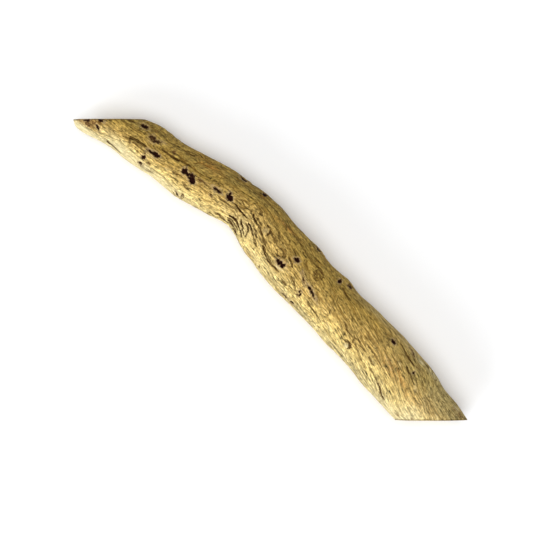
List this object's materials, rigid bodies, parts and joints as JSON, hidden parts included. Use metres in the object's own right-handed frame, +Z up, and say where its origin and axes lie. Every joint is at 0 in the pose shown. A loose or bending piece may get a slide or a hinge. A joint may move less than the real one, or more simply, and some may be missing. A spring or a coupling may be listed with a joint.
{
  "type": "marshmallow root",
  "caption": "Length of dried, peeled marshmallow root with a gentle bend, lengthwise furrows and trimmed side-root scars, cut on the slant at both ends; lies on a table.",
  "frame": {"origin": "middle of the bounding box's base, on the table that the root lies on", "axes": "+X along the root towards its thicker end, +Y across towards the outside of the bend, +Z up"},
  "size_m": [0.1582, 0.026, 0.0185],
  "materials": {
    "peeled_root": "matte, fibrous and furrowed, with dark side-root scars"
  },
  "bodies": {
    "root": {"marshmallow_root": "peeled_root"}
  },
  "joints": []
}
